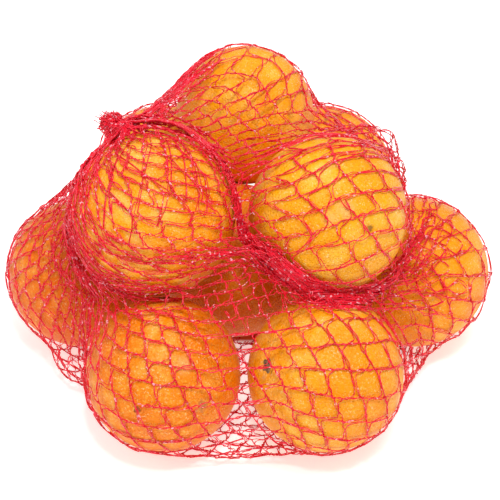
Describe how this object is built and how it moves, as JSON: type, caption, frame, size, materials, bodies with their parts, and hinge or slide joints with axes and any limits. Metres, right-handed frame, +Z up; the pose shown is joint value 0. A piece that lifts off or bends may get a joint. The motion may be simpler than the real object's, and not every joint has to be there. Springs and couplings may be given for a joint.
{
  "type": "net of oranges",
  "caption": "Closed mesh bag of fresh oranges: a rounded heap held tight in a sleeve of red netting that is knotted shut at its ends.",
  "frame": {"origin": "on the surface it rests on, under the middle of the heap", "axes": "+Z up; +X across the heap's longest side, to the right seen from the front; +Y towards its back"},
  "size_m": [0.2442, 0.2321, 0.1373],
  "materials": {
    "netting": "glossy knitted polyethylene filament, crimson",
    "orange_peel": "waxy pored citrus peel, satin",
    "stem_button": "dry woody stem end, matt"
  },
  "bodies": {
    "root": {"net_of_oranges": "netting"}
  },
  "joints": []
}
